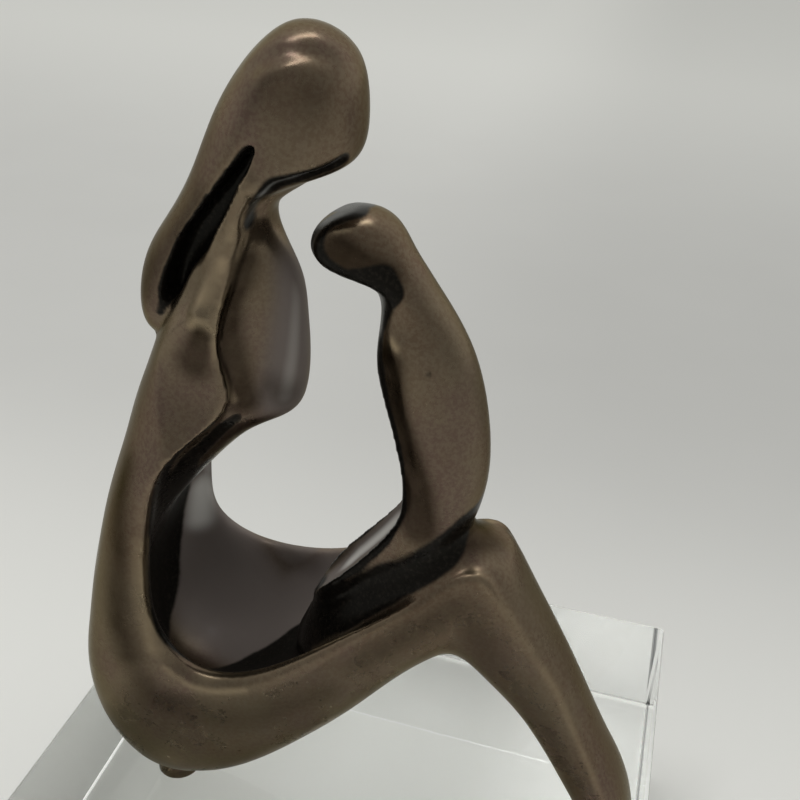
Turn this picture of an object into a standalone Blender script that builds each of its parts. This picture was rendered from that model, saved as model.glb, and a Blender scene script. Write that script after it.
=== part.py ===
"""Bronze mother and child, cast as one, on a clear acrylic block.

The mother sits with her legs drawn up and her body curved like a spoon, and the child sits on
her knees facing her. Both heads are smooth eggs with no face. Metres, +Z up, +X the way the
mother faces, origin at the centre of the block's underside.
"""

import math

import bmesh
import bpy
import numpy as np
from mathutils import Vector

# Driving dimensions, metres.
FIGURE_HEIGHT = 0.149        # from the block's top to the crown of the mother's head
BLOCK_THICKNESS = 0.050      # clear acrylic block, top to underside
BLOCK_WIDTH = 0.150          # block across the figure, along Y
FRONT_MARGIN = 0.002         # block's top beyond the tip of the foot
BACK_MARGIN = 0.0147         # block's top beyond the back of the hips
BLOCK_EDGE_RADIUS = 0.0008   # polished round on the block's edges
REST_GAP = 0.0003            # clearance between the bronze and the block it rests on
BOSS_DIAMETER = 0.0085       # round casting boss that the hips stand on

# The pose is carved in shares of the figure's own height: one step is a millimetre on a figure
# of the standard height, so the tables below read in steps along X, up from the block, and Y.
STANDARD_STEPS = 149.0
STEP = FIGURE_HEIGHT / STANDARD_STEPS
FOOT_TIP = 59.2
KNEE = 25.0
HIP_RIM = -27.0
FAR_SIDE_BACK = 0.11          # share of its distance from the middle that the far hip lies back
HIP_BACK = -46.5
BOSS_SPOT = (-32.9, 0.0)
BOSS_TOP = 16.0               # inside the hips
BOSS_SIDES = 24
BELOW_BLOCK_TOP = -7.0        # foot and boss run down to here before they are cut flat

# How finely the casting is faceted.
SMOOTH_LEVELS = 3
CAGE_ROUNDS = 12
CASTING_VOXEL = 0.8 * STEP
CASTING_SOFTENING = 0.5
CASTING_SMOOTHING = 12
CASTING_SHARE_KEPT = 0.085

# A body section's ring between its outer point and its rim: share of the way, share of the
# greatest half width.
FLANK_CURVE = ((0.07, 0.48), (0.30, 0.86), (0.68, 1.00))
# The rounded rim, in shares of its width: how far its outer corner lies towards the outer point
# and beyond the rim, and how far its inner corner lies in from the rim.
RIM_OUTER_CORNER = (0.5, 0.25)
RIM_INNER_CORNER = 0.6
# Where the two points between rim and inner point lie, as shares of the rim's distance out.
DIP_ACROSS = (0.78, 0.42)
RIM_COLUMNS = (5, 11)         # the rim's place in the ring, on either side

# A section of the body is a closed ring, mirrored in the XZ plane. Each row gives
#   outer point (x, h), rim point (x, h, y), inner point (x, h), greatest half width,
#   width of the rounded rim, and how deep the two points between rim and inner point lie.
# Outer is her back, then the underside of the thighs, then the back of the shins. Inner is
# her chest, then the hollow of the lap, then the front of the shins. The rim between them
# runs from neck to knee and on down the shin.
MOTHER_SECTIONS = (
    ((-20.0, 131.0), (-9.4, 131.0, 5.2), (-7.4, 130.5), 9.2, 1.4, (0.30, 0.80)),
    ((-21.5, 124.0), (-11.4, 124.4, 6.0), (-9.9, 124.0), 8.9, 1.4, (0.40, 0.85)),
    ((-23.5, 117.0), (-12.9, 119.0, 7.6), (-9.3, 118.8), 8.8, 1.4, (0.35, 0.85)),
    ((-26.5, 108.5), (-14.5, 113.0, 10.0), (-6.4, 113.3), 10.2, 1.6, (0.05, 0.72)),
    ((-28.8, 102.0), (-15.8, 107.8, 11.4), (-5.4, 107.6), 12.8, 1.6, (-0.03, 0.72)),
    ((-31.2, 96.0), (-16.0, 102.5, 11.8), (-5.0, 101.5), 13.2, 1.8, (-0.06, 0.72)),
    ((-33.8, 89.5), (-14.8, 97.5, 11.8), (-5.1, 96.0), 14.0, 2.0, (-0.05, 0.68)),
    ((-35.9, 83.0), (-15.7, 93.5, 12.8), (-7.2, 90.2), 14.8, 2.2, (0.05, 0.72)),
    ((-37.8, 77.0), (-19.5, 90.0, 14.7), (-13.6, 86.6), 15.7, 2.4, (0.30, 0.85)),
    ((-39.6, 70.5), (-23.8, 85.0, 15.8), (-21.2, 78.5), 16.4, 2.6, (0.40, 0.88)),
    ((-41.2, 63.5), (-26.4, 79.0, 16.4), (-28.0, 69.5), 17.0, 2.8, (0.45, 0.90)),
    ((-43.1, 55.0), (-27.9, 70.5, 16.9), (-32.2, 60.5), 17.8, 3.0, (0.45, 0.90)),
    ((-45.0, 45.0), (-28.6, 62.0, 17.0), (-34.4, 52.0), 18.4, 3.2, (0.45, 0.90)),
    ((-46.4, 34.0), (-28.2, 54.5, 17.3), (-33.8, 43.5), 19.0, 3.4, (0.45, 0.90)),
    ((-44.0, 20.5), (-25.4, 49.4, 18.0), (-29.5, 37.2), 19.5, 3.6, (0.45, 0.90)),
    ((-35.5, 10.5), (-21.3, 46.8, 18.6), (-22.5, 35.0), 19.7, 3.6, (0.45, 0.90)),
    ((-24.5, 10.6), (-15.9, 46.5, 18.8), (-15.0, 36.2), 19.4, 3.4, (0.45, 0.90)),
    ((-13.5, 16.5), (-9.2, 48.6, 18.2), (-8.0, 39.8), 18.8, 3.2, (0.45, 0.90)),
    ((-2.8, 25.8), (-1.8, 53.0, 17.0), (-0.5, 44.8), 17.4, 2.8, (0.45, 0.90)),
    ((5.8, 34.4), (5.0, 57.7, 15.2), (6.5, 51.5), 15.4, 2.4, (0.45, 0.90)),
    ((12.8, 42.4), (11.5, 62.3, 12.9), (13.0, 58.5), 13.0, 2.0, (0.50, 0.90)),
    ((18.2, 47.2), (18.5, 67.5, 10.2), (19.8, 66.9), 10.4, 1.8, (0.50, 0.90)),
    ((22.6, 48.4), (25.2, 70.8, 7.9), (26.6, 71.6), 8.4, 1.6, (0.50, 0.90)),
    ((28.4, 44.6), (31.0, 62.4, 7.5), (32.8, 63.4), 7.9, 1.4, (0.50, 0.90)),
    ((36.0, 37.2), (39.8, 48.8, 6.1), (41.2, 49.7), 6.5, 1.2, (0.50, 0.90)),
    ((45.6, 25.4), (48.9, 33.6, 6.3), (50.1, 34.2), 6.7, 1.2, (0.50, 0.90)),
    ((50.6, 11.0), (55.5, 20.0, 7.4), (56.8, 20.4), 7.8, 1.4, (0.50, 0.90)),
    ((50.9, -1.0), (57.6, -1.0, 7.8), (59.1, -1.0), 8.2, 1.6, (0.50, 0.90)),
    ((50.9, -7.0), (57.6, -7.0, 7.8), (59.1, -7.0), 8.2, 1.6, (0.50, 0.90)),
)
MOTHER_RIM_CREASE = (0.0,) * 22 + (0.45,) * 7

# The child, from the crown down to the tongue of bronze that sweeps on to her lap. Outer is
# the child's back, inner its face and front.
CHILD_SECTIONS = (
    ((5.0, 124.6), (2.0, 124.4, 2.2), (0.6, 124.1), 2.5, 0.8, (0.50, 0.90)),
    ((8.2, 122.8), (-1.6, 122.6, 4.8), (-3.1, 121.9), 5.6, 1.2, (0.50, 0.90)),
    ((10.8, 119.2), (-3.0, 118.6, 5.4), (-4.3, 118.5), 6.4, 1.2, (0.50, 0.90)),
    ((13.2, 115.6), (0.0, 115.0, 4.6), (-1.9, 114.8), 6.0, 1.2, (0.50, 0.90)),
    ((15.6, 112.2), (6.6, 113.2, 3.6), (5.4, 113.2), 5.4, 1.0, (0.50, 0.90)),
    ((18.2, 108.8), (8.2, 109.4, 3.0), (7.5, 109.4), 5.5, 1.0, (0.50, 0.90)),
    ((21.0, 103.6), (6.4, 103.6, 3.4), (6.3, 103.6), 6.3, 1.0, (0.50, 0.90)),
    ((23.3, 96.0), (8.0, 96.0, 4.0), (8.4, 96.0), 6.8, 1.0, (0.50, 0.90)),
    ((24.5, 87.0), (10.8, 87.2, 4.8), (11.8, 87.2), 7.2, 1.0, (0.50, 0.90)),
    ((23.9, 79.0), (11.9, 78.8, 5.2), (13.3, 78.0), 7.2, 1.0, (0.50, 0.90)),
    ((21.4, 70.0), (9.6, 72.6, 5.8), (11.0, 71.4), 7.4, 1.0, (0.50, 0.90)),
    ((16.5, 58.0), (4.9, 66.2, 6.2), (6.0, 64.4), 6.2, 1.0, (0.50, 0.90)),
    ((8.0, 48.0), (0.2, 60.6, 5.6), (0.8, 58.6), 5.0, 1.0, (0.50, 0.90)),
    ((-1.0, 43.0), (-3.2, 56.0, 3.0), (-4.4, 54.4), 3.0, 1.0, (0.50, 0.90)),
)
CHILD_RIM_CREASE = (0.0,) * 5 + (0.5,) * 9

# Head and hair are one drop: each row gives the drop's front (x, h), its back (x, h) and its
# half width.
HEAD_SECTIONS = (
    ((-2.4, 148.6), (-8.4, 148.8), 3.6),
    ((1.6, 145.2), (-12.6, 145.2), 7.8),
    ((3.2, 138.4), (-17.2, 139.0), 10.0),
    ((1.9, 131.6), (-20.2, 133.0), 10.4),
    ((-3.6, 126.8), (-22.8, 127.0), 9.8),
    ((-12.0, 121.0), (-26.2, 121.0), 9.0),
    ((-17.5, 114.0), (-30.2, 114.6), 8.8),
    ((-21.5, 108.0), (-31.8, 108.2), 8.4),
    ((-24.8, 103.4), (-31.4, 103.4), 6.4),
    ((-27.0, 100.8), (-30.0, 101.0), 3.2),
)
HEAD_RING_POINTS = 12

# The hollow between the hair and the shoulder, seen from the side: a leaf with its tip up.
LEAF_OUTLINE = (
    (-8.0, 137.6), (-10.6, 130.6), (-13.6, 124.4), (-17.2, 118.4), (-21.4, 113.2),
    (-23.6, 108.8), (-25.6, 105.4), (-27.0, 108.2), (-25.8, 112.8), (-22.4, 120.0),
    (-17.4, 126.6), (-12.6, 132.6),
)
LEAF_WEB = 3.4                # half the thickness of bronze left between the two hollows
LEAF_MOUTH = 14.0             # outside the widest part of the head
LEAF_FLOOR_SHARE = 0.72       # the leaf's floor against its mouth
LEAF_FLOOR_SPOT = (-19.6, 119.6)   # the floor shrinks towards here, so the front wall slopes most


def clear_scene():
    """Take out whatever the scene holds."""
    for old in list(bpy.data.objects):
        bpy.data.objects.remove(old, do_unlink=True)


def principled(name, colour, roughness, metallic, transmission=0.0):
    """A plain Principled material."""
    material = bpy.data.materials.new(name)
    material.use_nodes = True
    shader = material.node_tree.nodes["Principled BSDF"]
    shader.inputs["Base Color"].default_value = (*colour, 1.0)
    shader.inputs["Roughness"].default_value = roughness
    shader.inputs["Metallic"].default_value = metallic
    shader.inputs["Transmission Weight"].default_value = transmission
    return material


def pose_shift():
    """How far the pose moves along X so that the block's centre is the origin."""
    front = FOOT_TIP * STEP + FRONT_MARGIN
    back = HIP_BACK * STEP - BACK_MARGIN
    return -(front + back) / 2


def place(x, y, height):
    """A point of the pose, in metres in the part's frame."""
    hip_share = min(max((KNEE - x) / (KNEE - HIP_RIM), 0.0), 1.0)
    set_back = x - FAR_SIDE_BACK * hip_share * y
    return (set_back * STEP + pose_shift(), y * STEP, BLOCK_THICKNESS + height * STEP)


def section_ring(section):
    """The closed ring of one body section, from the outer point round the +Y side and back."""
    (bx, bh), (rx, rh, ry), (fx, fh), width, rim, dips = section
    half = [(bx, 0.0, bh)]
    for along, across in FLANK_CURVE:
        half.append((bx + along * (rx - bx), across * width, bh + along * (rh - bh)))
    towards_outer, beyond_rim = RIM_OUTER_CORNER
    outward = towards_outer * rim / math.hypot(bx - rx, bh - rh)
    half.append((rx + outward * (bx - rx), ry + beyond_rim * rim, rh + outward * (bh - rh)))
    inner_y = ry - RIM_INNER_CORNER * rim
    half.append((rx, inner_y, rh))
    for dip, across in zip(dips, DIP_ACROSS):
        half.append((rx + dip * (fx - rx), across * inner_y, rh + dip * (fh - rh)))
    half.append((fx, 0.0, fh))
    mirrored = [(x, -y, h) for x, y, h in half[-2:0:-1]]
    return [place(*point) for point in half + mirrored]


def drop_ring(section):
    """The closed ring of one section of the head, an ellipse."""
    (fx, fh), (bx, bh), width = section
    ring = []
    for index in range(HEAD_RING_POINTS):
        turn = 2 * math.pi * index / HEAD_RING_POINTS
        along = (1 - math.cos(turn)) / 2
        ring.append(place(bx + along * (fx - bx), width * math.sin(turn), bh + along * (fh - bh)))
    return ring


def limit_of(grid, creases, rim_columns):
    """Where Catmull-Clark subdivision carries each point of an open stack of closed rings."""
    before = np.concatenate([grid[:1], grid[:-1]])
    after = np.concatenate([grid[1:], grid[-1:]])
    along = (before + 4 * grid + after) / 6
    around = (np.roll(along, 1, axis=1) + 4 * along + np.roll(along, -1, axis=1)) / 6
    for column in rim_columns:
        hold = creases[:, None]
        around[:, column] = hold * along[:, column] + (1 - hold) * around[:, column]
    return around


def cage_through(rings, creases, rim_columns):
    """The control cage whose subdivided surface passes through the rings."""
    wanted = np.array(rings)
    cage = wanted.copy()
    for _ in range(CAGE_ROUNDS):
        cage += wanted - limit_of(cage, creases, rim_columns)
    return cage


def loft(name, rings, rim_crease=None, rim_columns=()):
    """A closed body through a stack of rings, smoothed by subdivision."""
    creases = np.array(rim_crease if rim_crease else (0.0,) * len(rings))
    cage = cage_through(rings, creases, rim_columns)
    around = cage.shape[1]
    mesh = bpy.data.meshes.new(name)
    form = bmesh.new()
    crease_layer = form.edges.layers.float.new("crease_edge")
    rows = [[form.verts.new(Vector(point)) for point in ring] for ring in cage]
    for lower, upper in zip(rows[:-1], rows[1:]):
        for k in range(around):
            nxt = (k + 1) % around
            form.faces.new((lower[k], lower[nxt], upper[nxt], upper[k]))
    form.faces.new(rows[0][::-1])
    form.faces.new(rows[-1])
    for column in rim_columns:
        for index in range(len(rows) - 1):
            edge = form.edges.get((rows[index][column], rows[index + 1][column]))
            edge[crease_layer] = min(creases[index], creases[index + 1])
    bmesh.ops.recalc_face_normals(form, faces=form.faces)
    form.to_mesh(mesh)
    form.free()
    piece = bpy.data.objects.new(name, mesh)
    bpy.context.collection.objects.link(piece)
    smoother = piece.modifiers.new("smooth form", "SUBSURF")
    smoother.levels = SMOOTH_LEVELS
    smoother.render_levels = SMOOTH_LEVELS
    return piece


def as_guide(piece):
    """Mark a helper that only joins or cuts the casting."""
    piece.hide_render = True
    piece.display_type = "WIRE"
    return piece


def leaf_cutter(side):
    """The cutter of the hollow beside the hair, on the side that the sign gives."""
    spot_x, spot_h = LEAF_FLOOR_SPOT
    form = bmesh.new()
    rows = []
    for depth, share in ((LEAF_WEB, LEAF_FLOOR_SHARE), (LEAF_MOUTH, 1.0)):
        row = []
        for x, h in LEAF_OUTLINE:
            corner = place(
                spot_x + share * (x - spot_x),
                side * depth,
                spot_h + share * (h - spot_h),
            )
            row.append(form.verts.new(Vector(corner)))
        rows.append(row)
    count = len(LEAF_OUTLINE)
    for k in range(count):
        nxt = (k + 1) % count
        form.faces.new((rows[0][k], rows[0][nxt], rows[1][nxt], rows[1][k]))
    form.faces.new(rows[0][::-1])
    form.faces.new(rows[1])
    bmesh.ops.recalc_face_normals(form, faces=form.faces)
    mesh = bpy.data.meshes.new("leaf")
    form.to_mesh(mesh)
    form.free()
    piece = bpy.data.objects.new("leaf_cutter", mesh)
    bpy.context.collection.objects.link(piece)
    return as_guide(piece)


def boolean(target, tool, operation):
    """Join or cut the target with the tool."""
    step = target.modifiers.new(operation.lower(), "BOOLEAN")
    step.operation = operation
    step.solver = "EXACT"
    step.object = tool


def box(name, low, high):
    """A plain box between two corners."""
    bpy.ops.mesh.primitive_cube_add(size=1.0)
    piece = bpy.context.object
    piece.name = name
    piece.data.name = name
    for vertex in piece.data.vertices:
        vertex.co = Vector(
            [low[i] + (vertex.co[i] + 0.5) * (high[i] - low[i]) for i in range(3)]
        )
    return piece


def boss():
    """The round boss under the hips."""
    top = place(*BOSS_SPOT, BOSS_TOP)
    foot = place(*BOSS_SPOT, BELOW_BLOCK_TOP)
    bpy.ops.mesh.primitive_cylinder_add(
        vertices=BOSS_SIDES,
        radius=BOSS_DIAMETER / 2,
        depth=top[2] - foot[2],
        location=(top[0], top[1], (top[2] + foot[2]) / 2),
    )
    return as_guide(bpy.context.object)


def bronze_figure():
    """Mother and child in one casting, cut flat where it stands on the block."""
    mother_rings = [section_ring(section) for section in MOTHER_SECTIONS]
    figure = loft("bronze_figure", mother_rings, MOTHER_RIM_CREASE, RIM_COLUMNS)
    head = loft("head", [drop_ring(section) for section in HEAD_SECTIONS])
    child_rings = [section_ring(section) for section in CHILD_SECTIONS]
    child = loft("child", child_rings, CHILD_RIM_CREASE, RIM_COLUMNS)
    for limb in (as_guide(head), as_guide(child), boss()):
        boolean(figure, limb, "UNION")
    skin = figure.modifiers.new("casting skin", "REMESH")
    skin.mode = "VOXEL"
    skin.voxel_size = CASTING_VOXEL
    soften = figure.modifiers.new("soft corners", "SMOOTH")
    soften.factor = CASTING_SOFTENING
    soften.iterations = CASTING_SMOOTHING
    facets = figure.modifiers.new("fewer facets", "DECIMATE")
    facets.ratio = CASTING_SHARE_KEPT
    for side in (-1, 1):
        boolean(figure, leaf_cutter(side), "DIFFERENCE")
    reach = 2 * FIGURE_HEIGHT
    floor_level = BLOCK_THICKNESS + REST_GAP
    floor = box("floor_cutter", (-reach, -reach, -reach), (reach, reach, floor_level))
    boolean(figure, as_guide(floor), "DIFFERENCE")
    figure.data.materials.append(
        principled("bronze patina", (0.16, 0.13, 0.08), 0.34, 0.9)
    )
    for polygon in figure.data.polygons:
        polygon.use_smooth = True
    return figure


def acrylic_base():
    """The clear block, with polished edges."""
    front = FOOT_TIP * STEP + FRONT_MARGIN + pose_shift()
    half = BLOCK_WIDTH / 2
    block = box("acrylic_base", (-front, -half, 0.0), (front, half, BLOCK_THICKNESS))
    edge = block.modifiers.new("polished edges", "BEVEL")
    edge.width = BLOCK_EDGE_RADIUS
    edge.segments = 2
    block.data.materials.append(
        principled("clear acrylic", (0.93, 0.95, 0.93), 0.05, 0.0, 1.0)
    )
    return block


clear_scene()
bronze_figure()
acrylic_base()
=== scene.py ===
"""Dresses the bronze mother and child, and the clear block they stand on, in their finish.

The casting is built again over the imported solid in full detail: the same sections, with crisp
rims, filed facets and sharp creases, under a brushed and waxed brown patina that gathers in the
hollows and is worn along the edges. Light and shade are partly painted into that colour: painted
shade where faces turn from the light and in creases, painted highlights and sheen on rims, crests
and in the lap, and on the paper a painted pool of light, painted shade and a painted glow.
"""

import math

import bmesh
import bpy
import numpy as np
from mathutils import Matrix, Vector
from mathutils.bvhtree import BVHTree


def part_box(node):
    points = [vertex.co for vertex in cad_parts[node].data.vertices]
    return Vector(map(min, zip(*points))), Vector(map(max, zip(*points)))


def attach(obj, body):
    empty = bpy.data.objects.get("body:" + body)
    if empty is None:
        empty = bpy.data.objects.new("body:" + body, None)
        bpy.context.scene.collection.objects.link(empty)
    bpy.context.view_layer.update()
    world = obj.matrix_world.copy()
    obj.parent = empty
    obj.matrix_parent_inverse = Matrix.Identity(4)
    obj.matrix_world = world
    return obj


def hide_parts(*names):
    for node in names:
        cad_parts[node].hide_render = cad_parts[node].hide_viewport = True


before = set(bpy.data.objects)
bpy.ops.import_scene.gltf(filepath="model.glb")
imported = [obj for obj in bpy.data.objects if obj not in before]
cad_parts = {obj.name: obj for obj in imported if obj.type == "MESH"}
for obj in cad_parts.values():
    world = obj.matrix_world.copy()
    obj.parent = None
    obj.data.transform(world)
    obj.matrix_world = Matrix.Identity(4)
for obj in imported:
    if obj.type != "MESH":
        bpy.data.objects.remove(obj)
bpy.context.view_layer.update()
BLOCK_LOW, BLOCK_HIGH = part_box("acrylic_base")
FIGURE_LOW, FIGURE_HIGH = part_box("bronze_figure")

# The pose is carved in steps, as the solid is: a step is a share of the figure's own height.
CROWN = 148.95                # the solid's crown above the block, in steps
TOE = 59.01                   # the solid's foremost point
STEP = (FIGURE_HIGH.z - BLOCK_HIGH.z) / CROWN
POSE_SHIFT = FIGURE_HIGH.x - TOE * STEP
KNEE = 25.0
HIP_RIM = -27.0
FAR_SIDE_BACK = 0.11          # share of its distance from the middle that the far hip lies back
# How much higher the far rim of the lap lies than the near one: x, height at that x.
FAR_RIM_LIFT = ((-42.0, 0.0), (-24.0, 1.7), (-12.0, 0.2), (0.0, -2.2), (8.0, -1.4), (18.0, 0.0))
FAR_RIM_Y = 17.0              # half width at which that lift is whole
LIFT_ENDS = 94.0              # height without any lift
LIFT_FADES_OVER = 16.0
BOSS_SPOT = (-32.9, 0.0)
BOSS_TOP = 16.0               # inside the hips
BOSS_RADIUS = 0.00425
BOSS_SIDES = 48
BELOW_BLOCK_TOP = -7.0        # feet and boss run down to here before they are cut flat

BLOCK_BEVEL = 0.0009
BEVEL_STEPS = 4
BEVEL_FACE = 2e-4             # square metres: the block's flat sides are larger, its bevels smaller
FLOOR_GAP = 0.0002            # between the block's underside and the paper
FLOOR_HALF = 4.0
PATCH_BORDER = 0.0005         # of the whiter paper under the block

# The casting's mesh.
SMOOTH_LEVELS = 3
CAGE_ROUNDS = 12
FINE_VOXEL = 0.53 * STEP
TRIANGLE_BUDGET = 198000
BLEND_ROUNDS = 90
POLISH_ROUNDS = 3
CUTTER_REACH = 0.3            # half the cutter's size, far more than the casting's

# How the patina and the shade and sheen painted with it are measured out: in rounds of spreading,
# metres, and shares of hidden sky.
SKY_RAYS = 14
SKY_REACH = 0.024
SKY_START = 0.0002
FAR_HIDES_LESS = 0.6
SKY_ROUNDS = 4
RISE_ROUNDS = 24
LEAF_BOTTOM, LEAF_TOP, LEAF_FRONT = 103, 139, -7
LEAF_DARK = (0.06, 0.16)
TURNED_TO_HOLLOW = (-0.20, 0.05)
BOWL_CORE, BLACK_CORE, DUST_CORE = 0.7, 0.5, 0.4
DUST_THICK = 0.5
PIT_STAIN = 2.2
HOLLOW_DARK = (0.35, 0.95)
RISE_WORN = (0.10, 0.50)
WORN_AT_MOST = 0.35
BLACK_KEPT_OFF_GOLD = 0.7
PALE_SHEEN = 0.28

# The camera, fitted to the block's edges and to the upright lines, and the lights.
CAMERA_SPOT = (0.04428, -0.13555, 0.224)
CAMERA_LENS = 47.25
SENSOR_WIDTH = 36.0
CAMERA_PITCH, CAMERA_ROLL, CAMERA_YAW = 29.56, -3.04, 14.29
ROOM_BRIGHTEST = (-0.16, 0.84, -0.22)
ROOM_COLOUR = (0.99, 1.0, 0.965, 1.0)
ROOM_RANGE = (("From Min", -0.75), ("From Max", 0.65), ("To Min", 0.40), ("To Max", 0.96))
CEILING_SPOT = (-0.20, 0.16, 1.10)
CEILING_TARGET = (0, 0, 0.1)
CEILING_SIZE = (0.9, 0.18)
CEILING_POWER = 3.1

# Each row: outer point (x, h), rim point (x, h, y), inner point (x, h), greatest half width,
# width of the rounded rim, and how deep the two points between rim and inner point lie.
# Here and below, x and y are level and h is the height above the block, all in steps.
MOTHER_SECTIONS = (
    ((-18.0, 136.0), (-2.4, 135.4, 4.6), (-0.4, 134.6), 8.6, 1.4, (0.30, 0.80)),
    ((-20.0, 131.0), (-5.4, 130.4, 5.2), (-2.8, 129.2), 9.2, 1.4, (0.30, 0.80)),
    ((-21.5, 124.0), (-11.2, 124.4, 6.4), (-9.5, 124.0), 9.5, 1.4, (0.40, 0.85)),
    ((-23.5, 117.0), (-12.9, 119.0, 7.8), (-9.3, 118.8), 9.2, 1.4, (0.20, 0.80)),
    ((-26.5, 108.5), (-14.5, 113.0, 10.0), (-6.4, 113.3), 10.2, 1.6, (0.05, 0.72)),
    ((-28.8, 102.0), (-15.8, 107.8, 11.4), (-5.4, 107.6), 12.8, 1.6, (-0.03, 0.72)),
    ((-31.2, 96.0), (-16.0, 102.5, 11.8), (-5.0, 101.5), 13.2, 1.8, (-0.06, 0.72)),
    ((-33.8, 89.5), (-14.8, 97.5, 11.8), (-5.1, 96.0), 14.0, 2.0, (-0.05, 0.68)),
    ((-35.9, 83.0), (-15.7, 93.5, 12.8), (-7.2, 90.2), 14.8, 2.2, (0.05, 0.72)),
    ((-37.8, 77.0), (-19.5, 90.0, 14.7), (-13.6, 86.6), 15.7, 2.4, (0.30, 0.85)),
    ((-39.6, 70.5), (-23.8, 85.0, 15.8), (-21.2, 78.5), 16.4, 2.6, (0.40, 0.88)),
    ((-41.2, 63.5), (-26.4, 79.0, 16.4), (-28.0, 69.5), 17.0, 2.8, (0.45, 0.90)),
    ((-43.1, 55.0), (-27.9, 70.5, 16.9), (-32.2, 60.5), 17.8, 3.0, (0.45, 0.90)),
    ((-45.0, 45.0), (-28.6, 62.0, 17.0), (-34.4, 52.0), 18.4, 3.2, (0.45, 0.90)),
    ((-46.4, 34.0), (-28.2, 54.5, 17.3), (-33.8, 43.5), 19.0, 3.4, (0.45, 0.90)),
    ((-44.0, 20.5), (-25.4, 49.4, 18.0), (-29.5, 37.2), 19.5, 3.6, (0.45, 0.90)),
    ((-35.5, 10.5), (-21.3, 46.8, 18.6), (-22.5, 35.0), 19.7, 3.6, (0.45, 0.90)),
    ((-24.5, 10.6), (-15.9, 46.5, 18.8), (-15.0, 36.2), 19.4, 3.4, (0.45, 0.90)),
    ((-13.5, 16.5), (-9.2, 48.6, 18.2), (-8.0, 39.8), 18.8, 3.2, (0.45, 0.90)),
    ((-2.8, 25.8), (-1.8, 53.0, 17.0), (-0.5, 44.8), 17.4, 2.8, (0.45, 0.90)),
    ((5.8, 34.4), (5.0, 57.7, 15.2), (6.5, 51.5), 15.4, 2.4, (0.45, 0.90)),
    ((12.8, 42.4), (11.5, 62.3, 12.9), (13.0, 58.5), 13.0, 2.0, (0.50, 0.90)),
    ((18.2, 47.2), (18.5, 67.5, 10.2), (19.8, 66.9), 10.4, 1.8, (0.50, 0.90)),
    ((22.6, 48.4), (25.9, 71.0, 7.9), (27.4, 71.8), 8.4, 1.6, (0.50, 0.90)),
    ((28.2, 44.6), (32.0, 62.8, 7.5), (33.8, 63.8), 7.9, 1.4, (0.50, 0.90)),
    ((35.0, 37.4), (40.5, 49.2, 6.1), (42.0, 50.1), 6.5, 1.2, (0.50, 0.90)),
    ((43.0, 25.6), (48.9, 33.6, 6.3), (50.1, 34.2), 6.7, 1.2, (0.50, 0.90)),
    ((50.4, 11.0), (54.9, 19.6, 7.4), (56.2, 20.0), 7.8, 1.4, (0.50, 0.90)),
    ((50.9, -1.0), (57.6, -1.0, 7.8), (59.1, -1.0), 8.2, 1.6, (0.50, 0.90)),
    ((50.9, -7.0), (57.6, -7.0, 7.8), (59.1, -7.0), 8.2, 1.6, (0.50, 0.90)),
)
MOTHER_RIM_CREASE = (0.0,) * 23 + (0.72,) * 7
CHILD_SECTIONS = (
    ((5.0, 124.6), (2.0, 124.4, 2.2), (0.6, 124.1), 2.5, 0.8, (0.50, 0.90)),
    ((8.2, 122.8), (-1.6, 122.6, 4.8), (-3.1, 121.9), 5.6, 1.2, (0.50, 0.90)),
    ((10.8, 119.2), (-3.0, 118.6, 5.4), (-4.3, 118.5), 6.4, 1.2, (0.50, 0.90)),
    ((13.2, 115.8), (0.4, 115.9, 4.8), (-1.6, 115.6), 6.0, 1.2, (0.50, 0.90)),
    ((15.6, 112.4), (5.6, 114.3, 4.0), (4.4, 114.2), 5.4, 1.0, (0.50, 0.90)),
    ((18.2, 108.8), (7.2, 109.8, 3.4), (6.4, 109.8), 5.5, 1.0, (0.50, 0.90)),
    ((21.0, 103.6), (6.4, 103.6, 3.4), (6.3, 103.6), 6.3, 1.0, (0.50, 0.90)),
    ((23.3, 96.0), (8.0, 96.0, 4.0), (8.4, 96.0), 6.8, 1.0, (0.50, 0.90)),
    ((24.5, 87.0), (10.8, 87.2, 4.8), (11.8, 87.2), 7.2, 1.0, (0.50, 0.90)),
    ((23.9, 79.0), (11.9, 78.8, 5.2), (13.3, 78.0), 7.2, 1.0, (0.50, 0.90)),
    ((21.4, 70.0), (9.6, 72.6, 5.8), (11.0, 71.4), 7.4, 1.0, (0.50, 0.90)),
    ((16.5, 58.0), (4.9, 66.2, 6.2), (6.0, 64.4), 6.2, 1.0, (0.50, 0.90)),
    ((8.0, 48.0), (0.2, 60.6, 5.6), (0.8, 58.6), 5.0, 1.0, (0.50, 0.90)),
    ((-1.0, 43.0), (-3.2, 56.0, 3.0), (-4.4, 54.4), 3.0, 1.0, (0.50, 0.90)),
)
CHILD_RIM_CREASE = (0.0,) * 5 + (0.5,) * 9
# Front and back point (x, h) and half width.
HEAD_SECTIONS = (
    ((-2.4, 148.6), (-8.4, 148.8), 3.6),
    ((1.6, 145.2), (-12.6, 145.2), 7.8),
    ((3.2, 138.4), (-17.2, 139.0), 10.0),
    ((1.9, 131.6), (-20.2, 133.0), 10.4),
    ((-5.0, 127.8), (-22.8, 127.0), 9.6),
    ((-14.2, 121.8), (-26.2, 121.0), 8.7),
    ((-17.5, 114.0), (-30.2, 114.6), 8.8),
    ((-21.5, 108.0), (-31.8, 108.2), 8.4),
    ((-24.8, 103.4), (-31.4, 103.4), 6.4),
    ((-27.0, 100.8), (-30.0, 101.0), 3.2),
)
HEAD_RING_POINTS = 12
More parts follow.
